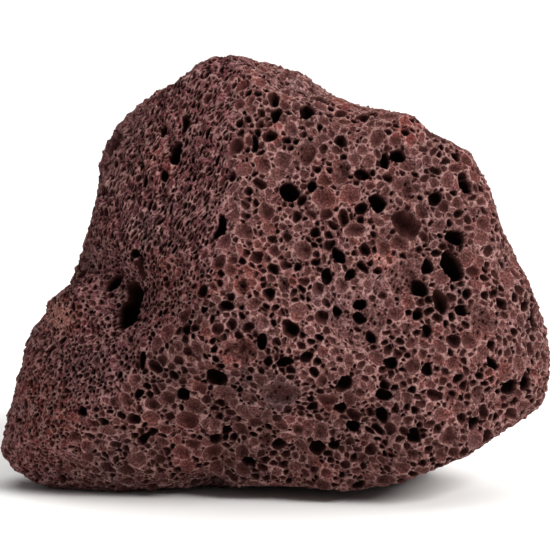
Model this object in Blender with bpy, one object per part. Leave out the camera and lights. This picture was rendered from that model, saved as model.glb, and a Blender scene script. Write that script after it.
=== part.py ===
"""One fist-sized lump of lava rock (red scoria), a single solid full of gas pits.

Run it with blender --background --python part.py, or from Blender's text editor.
Frame: metres, +Z up, X along the widest side, and the origin under the middle of
the lump's bounding box, on the flat broken patch that it rests on.
The constants are in millimetres. Points are worked out as (across, away, up) from
the heart of the lump, in a frame that leans back with the lump's widest section.
"""

import math

import bmesh
import bpy
import numpy as np

MM = 0.001
SEED = 71

# The widest section of the lump, seen from the front: (across, up), clockwise.
OUTLINE = (
    (-5.4, 78.8), (0.5, 77.2), (5.0, 75.8), (11.0, 71.6), (17.0, 69.6), (24.7, 68.2),
    (28.0, 65.0), (35.4, 61.4), (39.1, 54.2), (40.8, 47.9), (44.0, 42.3), (48.6, 31.5),
    (49.9, 25.0), (49.6, 20.5), (48.3, 15.5), (41.7, 11.4), (34.5, 6.8), (22.5, 1.9),
    (13.5, 0.5), (1.0, 1.4), (-13.5, 1.0), (-28.0, 0.0), (-41.0, 0.6), (-46.6, 3.2),
    (-50.0, 7.4), (-47.9, 15.1), (-44.4, 28.6), (-41.5, 34.0), (-36.8, 38.0),
    (-35.0, 43.5), (-32.0, 52.5), (-31.4, 61.0), (-28.6, 66.3), (-22.5, 71.8),
    (-17.5, 74.2), (-12.0, 78.4),
)
HEART_HEIGHT = 36.0
LEAN = math.radians(10.0)
HALF_DEPTH = 44.0
# The widest section stands this far out of its outline, because the pits lower it.
PIT_ALLOWANCE = 0.15
CORNER_ROUNDING = math.radians(1.1)
FLANK_ROUNDING = math.radians(20.0)
FLANK_SQUARENESS = 2.8
OUTLINE_STEPS = 720

# Faces that broke off flat: (across, away, up) is the way each one looks, then its
# distance from the heart.
BREAKS = (
    (0.20, -0.95, 0.24, 25.0),
    (-0.50, -0.80, 0.32, 27.5),
    (-0.72, -0.68, -0.12, 34.0),
    (-0.10, -0.80, -0.58, 30.0),
    (0.62, -0.76, -0.10, 37.0),
    (0.34, -0.62, 0.70, 38.0),
    (0.30, 0.90, 0.28, 28.0),
    (-0.62, 0.76, 0.18, 31.0),
    (-0.10, 0.62, 0.78, 34.0),
    (0.72, 0.66, -0.20, 37.0),
    (-0.20, 0.80, -0.56, 33.0),
)
EDGE_SHARPNESS = 18.0

# Hollows broader than a gas pit: (across, up) on the front, radius, depth.
HOLLOWS = (
    (-33.0, 40.0, 5.5, 3.0),
    (-26.0, 36.0, 6.0, 3.2),
    (-17.0, 60.0, 3.6, 1.8),
    (-19.0, 53.0, 3.2, 1.2),
    (-25.0, 19.0, 9.0, 1.6),
    (24.0, 47.0, 7.0, 1.0),
    (14.0, 31.0, 9.0, 0.8),
    (34.0, 24.0, 6.0, 0.9),
)
LUMPS = ((30.0, 0.9), (12.0, 0.3), (5.0, 0.16))
WAVES_PER_LUMP = 24

# Gas pits broken open on the front, from the top down: (across, up), width, height,
# turn of the width in degrees, depth.
FRONT_PITS = (
    (5.9, 68.6, 2.6, 3.1, 0, 3.0),
    (0.3, 68.1, 1.8, 3.5, -20, 2.8),
    (-16.0, 66.6, 1.3, 4.4, -10, 2.0),
    (-19.9, 65.4, 1.3, 3.4, -12, 1.8),
    (-3.6, 63.0, 1.3, 3.3, 10, 2.0),
    (-17.8, 61.3, 2.4, 5.1, -12, 3.9),
    (5.6, 61.3, 3.1, 5.1, 0, 1.2),
    (22.2, 60.8, 2.9, 2.6, 0, 2.9),
    (20.0, 59.9, 2.0, 3.1, 15, 2.7),
    (12.0, 57.7, 3.3, 5.5, 0, 1.3),
    (15.8, 57.5, 2.6, 2.6, 0, 2.7),
    (-20.0, 57.3, 1.4, 2.6, 10, 1.8),
    (7.0, 55.3, 2.0, 2.2, 0, 2.2),
    (34.4, 55.3, 2.7, 2.2, 0, 2.6),
    (24.0, 54.8, 1.8, 5.1, 0, 1.0),
    (2.5, 54.4, 3.6, 3.5, 0, 3.7),
    (28.9, 53.1, 2.6, 2.6, 0, 2.7),
    (18.5, 52.2, 3.3, 3.3, 0, 3.4),
    (23.8, 48.4, 6.2, 4.7, -35, 2.7),
    (-9.6, 47.8, 1.3, 4.9, -25, 3.3),
    (32.8, 46.0, 3.5, 3.1, 0, 3.4),
    (19.8, 44.3, 2.6, 3.6, 0, 0.9),
    (-25.1, 43.3, 2.0, 1.6, 0, 1.8),
    (11.6, 42.9, 2.0, 3.5, 30, 2.9),
    (27.6, 40.9, 2.0, 2.6, 0, 2.4),
    (32.2, 40.5, 3.5, 6.2, 25, 5.1),
    (-23.9, 40.3, 1.5, 6.4, 0, 1.7),
    (13.4, 39.4, 2.2, 2.2, 0, 2.3),
    (9.4, 39.2, 1.8, 3.1, 0, 2.6),
    (24.0, 38.7, 8.0, 7.3, 0, 1.4),
    (1.6, 37.8, 2.6, 3.5, 0, 0.9),
    (-5.7, 37.4, 2.9, 3.3, 0, 0.9),
    (-29.7, 37.2, 5.1, 2.0, 40, 3.5),
    (26.4, 36.7, 2.6, 3.6, 20, 3.3),
    (-25.1, 35.4, 3.8, 5.6, 15, 3.6),
    (29.8, 34.3, 2.9, 4.7, 15, 2.4),
    (15.4, 33.9, 2.6, 1.8, 0, 3.6),
    (11.4, 32.9, 2.2, 1.5, -30, 3.2),
    (15.4, 31.6, 2.3, 1.7, -20, 3.6),
    (33.7, 32.9, 2.0, 2.2, 0, 2.2),
    (25.8, 32.3, 2.4, 2.4, 0, 2.5),
    (47.0, 31.2, 2.0, 4.4, 10, 3.4),
    (-26.3, 31.4, 4.8, 5.8, 0, 7.0),
    (14.7, 31.0, 9.9, 10.6, 0, 1.3),
    (37.5, 30.6, 5.8, 6.6, 0, 1.5),
    (23.5, 29.7, 2.4, 2.4, 0, 0.7),
    (-15.4, 29.4, 2.2, 2.2, 0, 2.3),
    (27.3, 29.2, 2.0, 2.2, 0, 2.2),
    (17.4, 27.9, 1.8, 2.6, 0, 2.3),
    (-2.1, 27.4, 2.2, 3.1, 0, 2.8),
    (-6.5, 25.7, 6.9, 5.1, 0, 1.5),
    (-43.5, 25.2, 2.2, 2.2, 0, 0.7),
    (-41.1, 24.9, 1.3, 3.6, 5, 2.2),
    (5.6, 24.5, 2.6, 2.0, 0, 2.4),
    (-23.6, 23.7, 1.5, 3.6, 0, 2.7),
    (1.9, 23.7, 2.7, 1.8, 0, 2.4),
    (20.9, 23.4, 2.4, 2.4, 0, 2.5),
    (39.3, 23.2, 1.6, 3.3, 35, 2.6),
    (24.7, 23.0, 2.4, 3.3, 0, 0.8),
    (27.3, 22.4, 2.4, 2.4, 0, 2.5),
    (-10.5, 21.4, 3.6, 4.0, 20, 4.0),
    (12.3, 19.9, 2.9, 3.3, 0, 3.3),
    (45.4, 19.9, 2.2, 3.6, 10, 3.1),
    (42.6, 19.2, 3.1, 3.1, 0, 3.3),
    (-16.2, 18.2, 2.9, 2.9, 0, 3.1),
    (19.6, 17.9, 3.1, 2.2, -10, 2.8),
    (-24.2, 17.9, 1.7, 1.7, 0, 1.9),
    (1.0, 17.7, 8.4, 6.2, 0, 1.4),
    (31.5, 17.5, 2.7, 2.2, -20, 0.7),
    (36.6, 17.5, 3.3, 3.8, 0, 1.1),
    (23.8, 17.3, 2.6, 2.2, 0, 0.7),
    (12.1, 15.9, 2.4, 2.6, 0, 2.6),
    (-34.4, 14.5, 2.2, 2.0, 0, 2.1),
    (19.6, 14.4, 2.2, 3.3, 30, 2.9),
    (35.7, 12.6, 2.6, 2.2, 0, 2.5),
    (14.0, 12.4, 2.7, 2.6, 0, 2.8),
    (-8.7, 11.5, 2.2, 2.0, 0, 2.2),
    (25.1, 10.6, 2.7, 3.3, 0, 3.2),
    (-35.7, 10.0, 2.7, 2.7, 0, 0.8),
    (-23.6, 9.9, 1.6, 3.3, -35, 2.6),
    (-10.7, 9.9, 2.0, 2.6, 0, 2.4),
    (-1.7, 9.7, 2.9, 3.6, 0, 1.0),
    (0.8, 8.9, 2.2, 2.6, 0, 2.5),
    (29.1, 8.9, 1.6, 2.9, 0, 0.7),
    (10.7, 8.8, 2.2, 2.2, 0, 2.3),
    (7.9, 8.2, 2.6, 3.1, 0, 3.0),
    (25.1, 6.9, 2.6, 2.9, 0, 0.8),
    (-20.7, 6.0, 2.2, 2.2, 0, 0.7),
    (-4.3, 5.5, 3.1, 2.0, 0, 2.7),
)
# Seeded pits behind the widest section.
SIDE_PITS = 130
SIDE_PIT_RADII = (1.2, 3.4)
PIT_GAP = 0.35
FRONT_LIMIT = -0.12
# A pit runs in towards the core, a flat plate halfway through the lump, which is
# this share of the skin's width and height.
CORE_SHARE = np.array((0.8, 0.0, 0.8))

SPHERE_STEPS = 7
TRIANGLES = 9300
GROUND_BLOCK = 60.0
SMOOTH_ANGLE = math.radians(38.0)
ROCK_COLOUR = (0.105, 0.046, 0.043, 1.0)
ROCK_ROUGHNESS = 0.93


def unit(vectors):
    return vectors / np.linalg.norm(vectors, axis=-1, keepdims=True)


def rounded_outline(rounding):
    """Distance from the heart to the widest section at even angles: to the outline,
    with the corners between its straight edges rounded by a circular Gaussian blur
    of that angle, and the allowance for pits."""
    corners = np.array(OUTLINE) - (0.0, HEART_HEIGHT)
    corners = corners[np.argsort(np.arctan2(corners[:, 1], corners[:, 0]))]
    corner_angles = np.arctan2(corners[:, 1], corners[:, 0])
    angles = np.linspace(-math.pi, math.pi, OUTLINE_STEPS, endpoint=False)
    after = np.searchsorted(corner_angles, angles) % len(corners)
    start, edge = corners[after - 1], corners[after] - corners[after - 1]
    ray = np.stack((np.cos(angles), np.sin(angles)), axis=1)
    reach = (start[:, 0] * edge[:, 1] - start[:, 1] * edge[:, 0]) / (
        ray[:, 0] * edge[:, 1] - ray[:, 1] * edge[:, 0]
    )
    turns = np.arange(OUTLINE_STEPS // 2 + 1)
    blur = np.exp(-0.5 * (turns * rounding) ** 2)
    return angles, np.fft.irfft(np.fft.rfft(reach) * blur, OUTLINE_STEPS) + PIT_ALLOWANCE


def round_the_section(ways, table):
    """A table over the angles round the widest section, read along each way."""
    return np.interp(np.arctan2(ways[:, 2], ways[:, 0]), *table, period=2.0 * math.pi)


def lumps(points):
    """Smooth irregularity: for each wavelength, seeded sine waves that run in all
    directions are summed over the points."""
    rng = np.random.default_rng(SEED)
    total = np.zeros(len(points))
    for wavelength, height in LUMPS:
        ways = unit(rng.normal(size=(WAVES_PER_LUMP, 3)))
        phases = rng.uniform(0.0, 2.0 * math.pi, WAVES_PER_LUMP)
        waves = np.sin(points @ ways.T * (2.0 * math.pi / wavelength) + phases)
        total += height * waves.sum(axis=1) * math.sqrt(2.0 / WAVES_PER_LUMP)
    return total


def broken_radius(ways):
    """Distance from the heart to the broken faces along unit vectors. Each bound
    gives the share of its own distance that a unit step covers, and a high power sum
    joins the bounds, which keeps the edges between them slightly round."""
    crisp = round_the_section(ways, rounded_outline(CORNER_ROUNDING))
    soft = round_the_section(ways, rounded_outline(FLANK_ROUNDING))
    flank = np.clip(np.abs(ways[:, 1]) / 0.7, 0.0, 1.0)
    section = np.hypot(ways[:, 0], ways[:, 2]) / (crisp + (soft - crisp) * flank)
    flanks = section**FLANK_SQUARENESS + np.abs(ways[:, 1] / HALF_DEPTH) ** FLANK_SQUARENESS
    total = flanks ** (EDGE_SHARPNESS / FLANK_SQUARENESS)
    for *facing, distance in BREAKS:
        share = ways @ unit(np.array(facing)) / distance
        total += np.clip(share, 0.0, None) ** EDGE_SHARPNESS
    radius = total ** (-1.0 / EDGE_SHARPNESS)
    return radius + lumps(ways * radius[:, None])


def skin(ways):
    """The unpitted surface along unit vectors from the heart: the broken faces,
    stretched so that their widest section is the outline and held inside it, less
    the hollows."""
    angles, reach = rounded_outline(CORNER_ROUNDING)
    ring = np.stack((np.cos(angles), np.zeros(OUTLINE_STEPS), np.sin(angles)), axis=1)
    stretch = round_the_section(ways, (angles, reach / broken_radius(ring)))
    nearness = (1.0 - ways[:, 1] ** 2) ** 2
    points = ways * (broken_radius(ways) * (1.0 + (stretch - 1.0) * nearness))[:, None]
    width = np.hypot(points[:, 0], points[:, 2])
    beyond = width / round_the_section(ways, (angles, reach))
    points[:, ::2] /= np.maximum(beyond, 1.0)[:, None]
    for across, up, size, depth in HOLLOWS:
        off = np.hypot(points[:, 0] - across, points[:, 2] + HEART_HEIGHT - up)
        sunk = np.where(points[:, 1] < 0.0, depth * np.exp(-((off / size) ** 2)), 0.0)
        points -= ways * sunk[:, None]
    return points


def inward(points):
    return unit(points * (CORE_SHARE - 1.0))


def front_point(across, up):
    """Where the front of the skin lies at (across, up), found by halving."""
    near, far = -60.0, 0.0
    for _ in range(24):
        away = 0.5 * (near + far)
        point = np.array((across, away, up - HEART_HEIGHT))
        outside = np.linalg.norm(point) > np.linalg.norm(skin(unit(point)[None]))
        near, far = (away, far) if outside else (near, away)
    return point


def pit(mouth, side, half_mouth, depth):
    """(centre, matrix that maps the ellipsoid to the unit ball) of a pit whose mouth
    has those two half widths. A deep pit is widest below the skin, and a shallow one
    is a dish, the cap of an ellipsoid whose centre lies outside."""
    down = inward(mouth)
    side = unit(side - down * (side @ down))
    sink = np.clip(depth / np.sum(half_mouth) - 0.5, -0.6, 0.45)
    half_axes = np.append(half_mouth / math.sqrt(1.0 - sink**2), depth / (1.0 + sink))
    frame = np.stack((side, np.cross(side, down), down))
    return mouth + down * sink * half_axes[2], frame / half_axes[:, None]


def front_pits():
    for across, up, width, height, turn, depth in FRONT_PITS:
        angle = math.radians(turn)
        side = np.array((math.cos(angle), 0.0, math.sin(angle)))
        half_mouth = 0.5 * np.array((width, height))
        yield pit(front_point(across, up), side, half_mouth, depth)


def side_pits():
    """Seeded pits, the larger ones first, each clear of those before it."""
    rng = np.random.default_rng(SEED + 1)
    spots = np.zeros((0, 4))
    low, high = SIDE_PIT_RADII
    radii = low + (high - low) * np.sort(rng.uniform(size=SIDE_PITS) ** 2.2)[::-1]
    for radius in radii:
        ways = unit(rng.normal(size=(40, 3)))
        mouths = skin(ways[ways[:, 1] > FRONT_LIMIT])
        gaps = np.linalg.norm(spots[:, None, :3] - mouths, axis=2) - spots[:, 3:]
        free = np.flatnonzero((gaps > radius + PIT_GAP).all(axis=0))
        if not len(free):
            continue
        mouth = mouths[free[0]]
        spots = np.vstack((spots, (*mouth, radius)))
        half_mouth = radius * rng.uniform(0.8, 1.2, 2)
        depth = radius * rng.uniform(0.5, 1.9)
        yield pit(mouth, rng.normal(size=3), half_mouth, depth)


def carved(points, pits):
    """The points moved in to where they leave the pits that they lie in."""
    ways = inward(points)
    travel = np.zeros(len(points))
    for centre, to_ball in pits:
        from_centre = (points - centre) @ to_ball.T
        inside = np.flatnonzero((from_centre**2).sum(axis=1) < 1.0)
        start, step = from_centre[inside], ways[inside] @ to_ball.T
        along, speed = (start * step).sum(axis=1), (step**2).sum(axis=1)
        left = 1.0 - (start**2).sum(axis=1)
        way_out = (np.sqrt(along**2 + speed * left) - along) / speed
        travel[inside] = np.maximum(travel[inside], way_out)
    return points + ways * travel[:, None]


def upright(points):
    """From (across, away, up), which lean back, to world, with the ground at 0."""
    across, away, up = points.T
    up = up + HEART_HEIGHT
    world_y = away * math.cos(LEAN) + up * math.sin(LEAN)
    world_z = up * math.cos(LEAN) - away * math.sin(LEAN)
    return np.stack((across, world_y, world_z), axis=1)


def rock_mesh():
    mesh = bpy.data.meshes.new("lava_rock")
    sphere = bmesh.new()
    bmesh.ops.create_icosphere(sphere, subdivisions=SPHERE_STEPS, radius=1.0)
    sphere.to_mesh(mesh)
    sphere.free()
    ways = np.empty(len(mesh.vertices) * 3, np.float32)
    mesh.vertices.foreach_get("co", ways)
    points = skin(unit(ways.reshape(-1, 3).astype(float)))
    points = upright(carved(points, [*front_pits(), *side_pits()])) * MM
    mesh.vertices.foreach_set("co", points.astype(np.float32).ravel())
    mesh.update()
    return mesh


def ground_mesh():
    """Everything below the flat patch that the lump rests on."""
    mesh = bpy.data.meshes.new("ground")
    block = bmesh.new()
    bmesh.ops.create_cube(block, size=2.0 * GROUND_BLOCK * MM)
    bmesh.ops.scale(block, vec=(2.0, 2.0, 1.0), verts=block.verts)
    bmesh.ops.translate(block, vec=(0.0, 0.0, -GROUND_BLOCK * MM), verts=block.verts)
    block.to_mesh(mesh)
    block.free()
    return mesh


def rock_material():
    material = bpy.data.materials.new("scoria")
    material.use_nodes = True
    shader = material.node_tree.nodes["Principled BSDF"]
    shader.inputs["Base Color"].default_value = ROCK_COLOUR
    shader.inputs["Roughness"].default_value = ROCK_ROUGHNESS
    shader.inputs["Metallic"].default_value = 0.0
    return material


def centred(mesh):
    """The mesh with the middle of its bounding box over the origin."""
    points = np.empty(len(mesh.vertices) * 3, np.float32)
    mesh.vertices.foreach_get("co", points)
    points = points.reshape(-1, 3)
    points[:, :2] -= 0.5 * (points[:, :2].min(axis=0) + points[:, :2].max(axis=0))
    mesh.vertices.foreach_set("co", points.ravel())
    mesh.update()
    return mesh


def build():
    for obj in list(bpy.data.objects):
        bpy.data.objects.remove(obj)
    rock = bpy.data.objects.new("lava_rock", rock_mesh())
    ground = bpy.data.objects.new("ground", ground_mesh())
    for obj in (rock, ground):
        bpy.context.scene.collection.objects.link(obj)
    thin = rock.modifiers.new("thin", "DECIMATE")
    thin.ratio = TRIANGLES / len(rock.data.polygons)
    rest = rock.modifiers.new("rest", "BOOLEAN")
    rest.operation = "DIFFERENCE"
    rest.object = ground
    graph = bpy.context.evaluated_depsgraph_get()
    rock.data = centred(bpy.data.meshes.new_from_object(rock.evaluated_get(graph)))
    rock.modifiers.clear()
    bpy.data.objects.remove(ground)
    rock.data.materials.clear()
    rock.data.materials.append(rock_material())
    rock.data.shade_smooth()
    rock.data.set_sharp_from_angle(angle=SMOOTH_ANGLE)


build()
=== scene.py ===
"""A fist-sized lump of lava rock (red scoria) on a pale studio floor.

The lump's shape is worked out in millimetres from its heart, as (across, away, up),
in a frame that leans back with its widest section. The finished mesh is in metres in
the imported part's frame.
"""

import math

import bpy
import numpy as np
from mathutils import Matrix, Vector


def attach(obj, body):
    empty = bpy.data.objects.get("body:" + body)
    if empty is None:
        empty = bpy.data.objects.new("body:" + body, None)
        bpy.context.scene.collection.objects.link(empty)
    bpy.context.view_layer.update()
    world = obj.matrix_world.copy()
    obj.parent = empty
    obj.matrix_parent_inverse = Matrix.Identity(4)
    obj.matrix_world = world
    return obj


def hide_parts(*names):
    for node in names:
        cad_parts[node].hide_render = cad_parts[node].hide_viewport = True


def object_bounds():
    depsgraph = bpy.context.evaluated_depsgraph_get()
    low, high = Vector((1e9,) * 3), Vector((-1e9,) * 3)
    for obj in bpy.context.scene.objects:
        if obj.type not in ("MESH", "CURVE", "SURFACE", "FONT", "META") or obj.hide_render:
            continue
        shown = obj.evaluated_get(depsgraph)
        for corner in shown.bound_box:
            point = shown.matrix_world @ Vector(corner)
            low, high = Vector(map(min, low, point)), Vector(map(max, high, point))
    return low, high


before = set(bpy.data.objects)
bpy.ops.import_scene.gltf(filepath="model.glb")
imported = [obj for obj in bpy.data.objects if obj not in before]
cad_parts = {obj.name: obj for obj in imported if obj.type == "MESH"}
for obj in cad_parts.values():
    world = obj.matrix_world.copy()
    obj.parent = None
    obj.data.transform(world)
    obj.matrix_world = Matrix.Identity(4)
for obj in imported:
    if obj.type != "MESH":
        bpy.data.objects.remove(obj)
cad_low, cad_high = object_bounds()

# THE LUMP OF RED SCORIA
# Scoria is basalt glass full of iron oxide and gas bubbles. It froze as a crust on a
# lava flow and broke up along flat cracks, so the lump is a set of broken faces with
# worn edges, a few hollows and a ledge on the left, and it is pitted all over.

# Its widest section, from the top clockwise: (across, up).
OUTLINE = (
    (-5.4, 78.8), (0.5, 77.2), (5.0, 75.8), (11.0, 71.6), (17.0, 69.6), (24.7, 68.2),
    (28.0, 65.0), (35.4, 61.4), (39.1, 54.2), (40.8, 47.9), (44.0, 42.3), (48.6, 31.5),
    (49.9, 25.0), (49.6, 20.5), (48.3, 15.5), (41.7, 11.4), (34.5, 6.8), (22.5, 1.9),
    (13.5, 0.5), (1.0, 1.4), (-13.5, 1.0), (-28.0, 0.0), (-41.0, 0.6), (-46.6, 3.2),
    (-50.0, 7.4), (-47.9, 15.1), (-44.4, 28.6), (-41.5, 34.0), (-36.8, 38.0),
    (-35.0, 43.5), (-32.0, 52.5), (-31.4, 61.0), (-28.6, 66.3), (-22.5, 71.8),
    (-17.5, 74.2), (-12.0, 78.4),
)
HEART_HEIGHT = 36.0
LEAN = math.radians(10.0)
HALF_DEPTH = 44.0
CORNER_ROUNDING = math.radians(1.1)
FLANK_ROUNDING = math.radians(20.0)
# The flanks are fully rounded where a way looks this much away from the section.
FLANK_START = 0.7
FLANK_SQUARENESS = 2.8
OUTLINE_STEPS = 720
# Each broken face: the way it looks (across, away, up), then its distance from the heart.
BREAKS = (
    (0.20, -0.95, 0.24, 25.0),
    (-0.50, -0.80, 0.32, 27.5),
    (-0.72, -0.68, -0.12, 34.0),
    (-0.10, -0.80, -0.58, 30.0),
    (0.62, -0.76, -0.10, 37.0),
    (0.34, -0.62, 0.70, 38.0),
    (0.30, 0.90, 0.28, 28.0),
    (-0.62, 0.76, 0.18, 31.0),
    (-0.10, 0.62, 0.78, 34.0),
    (0.72, 0.66, -0.20, 37.0),
    (-0.20, 0.80, -0.56, 33.0),
)
EDGE_SHARPNESS = 18.0
# Hollows in the front: (across, up), radius, depth.
HOLLOWS = (
    (-33.0, 40.0, 5.5, 3.0),
    (-26.0, 36.0, 6.0, 3.2),
    (-17.0, 60.0, 3.6, 1.8),
    (-19.0, 53.0, 3.2, 1.2),
    (-25.0, 19.0, 9.0, 1.6),
    (24.0, 47.0, 7.0, 1.0),
    (14.0, 31.0, 9.0, 0.8),
    (34.0, 24.0, 6.0, 0.9),
)
# Waviness of the whole surface: (wavelength, height).
LUMPS = ((30.0, 0.9), (12.0, 0.3), (5.0, 0.16))
WAVES_PER_LUMP = 24
SEED = 71
# The widest section stands this far out of its outline, because the pits lower it.
PIT_ALLOWANCE = 0.15
# Pits point at a flat core: each point's own core point is this share of the way out.
CORE_SHARE = np.array((0.8, 0.0, 0.8))

CUBE_STEPS = 150
SKIN_CELL = 0.16


def unit(vectors):
    """Vectors divided by their own lengths."""
    return vectors / np.linalg.norm(vectors, axis=-1, keepdims=True)


def rounded_outline(rounding):
    """Where the ray at each even angle from the heart crosses the outline's straight
    edge, blurred round the circle by a Gaussian of that angle."""
    corners = np.array(OUTLINE) - (0.0, HEART_HEIGHT)
    corners = corners[np.argsort(np.arctan2(corners[:, 1], corners[:, 0]))]
    corner_angles = np.arctan2(corners[:, 1], corners[:, 0])
    angles = np.linspace(-math.pi, math.pi, OUTLINE_STEPS, endpoint=False)
    after = np.searchsorted(corner_angles, angles) % len(corners)
    start, edge = corners[after - 1], corners[after] - corners[after - 1]
    ray = np.stack((np.cos(angles), np.sin(angles)), axis=1)
    reach = (start[:, 0] * edge[:, 1] - start[:, 1] * edge[:, 0]) / (
        ray[:, 0] * edge[:, 1] - ray[:, 1] * edge[:, 0]
    )
    turns = np.arange(OUTLINE_STEPS // 2 + 1)
    blur = np.exp(-0.5 * (turns * rounding) ** 2)
    return angles, np.fft.irfft(np.fft.rfft(reach) * blur, OUTLINE_STEPS) + PIT_ALLOWANCE


def round_the_section(ways, table):
    """A table over the angles round the widest section, read along each way."""
    return np.interp(np.arctan2(ways[:, 2], ways[:, 0]), *table, period=2.0 * math.pi)


def lumps(points):
    """For each wavelength, the sum over seeded unit vectors w of
    height * sqrt(2 / count) * sin(2 pi w.p / wavelength + phase)."""
    rng = np.random.default_rng(SEED)
    total = np.zeros(len(points))
    for wavelength, height in LUMPS:
        ways = unit(rng.normal(size=(WAVES_PER_LUMP, 3)))
        phases = rng.uniform(0.0, 2.0 * math.pi, WAVES_PER_LUMP)
        waves = np.sin(points @ ways.T * (2.0 * math.pi / wavelength) + phases)
        total += height * waves.sum(axis=1) * math.sqrt(2.0 / WAVES_PER_LUMP)
    return total


def broken_radius(ways):
    """1 / (sum of share^n)^(1/n) along each unit vector, where a share is what a unit
    step covers of the distance to one bound: the flanks, or one broken face."""
    crisp = round_the_section(ways, rounded_outline(CORNER_ROUNDING))
    soft = round_the_section(ways, rounded_outline(FLANK_ROUNDING))
    flank = np.clip(np.abs(ways[:, 1]) / FLANK_START, 0.0, 1.0)
    section = np.hypot(ways[:, 0], ways[:, 2]) / (crisp + (soft - crisp) * flank)
    depth = np.abs(ways[:, 1] / HALF_DEPTH)
    flanks = section**FLANK_SQUARENESS + depth**FLANK_SQUARENESS
    total = flanks ** (EDGE_SHARPNESS / FLANK_SQUARENESS)
    for *facing, distance in BREAKS:
        share = ways @ unit(np.array(facing)) / distance
        total += np.clip(share, 0.0, None) ** EDGE_SHARPNESS
    radius = total ** (-1.0 / EDGE_SHARPNESS)
    return radius + lumps(ways * radius[:, None])


def skin(ways):
    """way * radius * (1 + (stretch - 1) * (1 - away^2)^2), which makes the widest
    section the outline, held inside the outline, less depth * exp(-(off / size)^2)
    at each hollow."""
    angles, reach = rounded_outline(CORNER_ROUNDING)
    ring = np.stack((np.cos(angles), np.zeros(OUTLINE_STEPS), np.sin(angles)), axis=1)
    stretch = round_the_section(ways, (angles, reach / broken_radius(ring)))
    nearness = (1.0 - ways[:, 1] ** 2) ** 2
    points = ways * (broken_radius(ways) * (1.0 + (stretch - 1.0) * nearness))[:, None]
    width = np.hypot(points[:, 0], points[:, 2])
    beyond = width / round_the_section(ways, (angles, reach))
    points[:, ::2] /= np.maximum(beyond, 1.0)[:, None]
    for across, up, size, depth in HOLLOWS:
        off = np.hypot(points[:, 0] - across, points[:, 2] + HEART_HEIGHT - up)
        sunk = np.where(points[:, 1] < 0.0, depth * np.exp(-((off / size) ** 2)), 0.0)
        points -= ways * sunk[:, None]
    return points


def inward(points):
    """From each point towards the lump's core, a flat plate halfway through it."""
    return unit(points * (CORE_SHARE - 1.0))


def cube_grid(steps):
    """The six faces of a cube, each a grid of two parameters from -45 to 45 degrees
    whose tangents are its coordinates. The faces share the points along their edges.
    Returns the points and the quads, wound to face out."""
    i, j = np.meshgrid(np.arange(steps + 1), np.arange(steps + 1), indexing="ij")
    low, high = np.zeros_like(i), np.full_like(i, steps)
    sides = ((high, i, j), (low, j, i), (j, high, i), (i, low, j), (i, j, high), (j, i, low))
    lattice = np.array(sides).transpose(0, 2, 3, 1).reshape(-1, 3)
    keys = lattice @ ((steps + 1) ** np.arange(3))
    _, first, shared = np.unique(keys, return_index=True, return_inverse=True)
    shared = shared.reshape(6, steps + 1, steps + 1)
    rings = (shared[:, :-1, :-1], shared[:, 1:, :-1], shared[:, 1:, 1:], shared[:, :-1, 1:])
    quads = np.stack(rings, axis=-1).reshape(-1, 4)
    return np.tan((lattice[first] / steps - 0.5) * math.radians(90.0)), quads


def new_mesh(name, points, quads):
    """A mesh of these points and quads."""
    mesh = bpy.data.meshes.new(name)
    mesh.from_pydata(points.tolist(), [], quads.tolist())
    return mesh


def finished(mesh, kind, kept=None, **settings):
    """The mesh as one modifier leaves it. Kept vertices get half weight in the
    modifier's vertex group, and the others full weight."""
    holder = bpy.data.objects.new("holder", mesh)
    bpy.context.scene.collection.objects.link(holder)
    if kept is not None:
        group = holder.vertex_groups.new(name="kept")
        group.add(np.flatnonzero(kept).tolist(), 0.5, "REPLACE")
        group.add(np.flatnonzero(~kept).tolist(), 1.0, "REPLACE")
        settings["vertex_group"] = group.name
    modifier = holder.modifiers.new(kind.lower(), kind)
    for name, value in settings.items():
        setattr(modifier, name, value)
    graph = bpy.context.evaluated_depsgraph_get()
    result = bpy.data.meshes.new_from_object(holder.evaluated_get(graph))
    bpy.data.objects.remove(holder)
    return result


def vertex_points(mesh):
    """The mesh's vertices as an array of rows."""
    flat = np.empty(len(mesh.vertices) * 3, np.float32)
    mesh.vertices.foreach_get("co", flat)
    return flat.reshape(-1, 3)


grid_points, grid_quads = cube_grid(CUBE_STEPS)
smooth_lump = new_mesh("smooth_lump", skin(unit(grid_points)), grid_quads)
# A remesh gives the skin even cells, fine enough for the rims of the pits.
stone_mesh = finished(smooth_lump, "REMESH", mode="VOXEL", voxel_size=SKIN_CELL)

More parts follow.
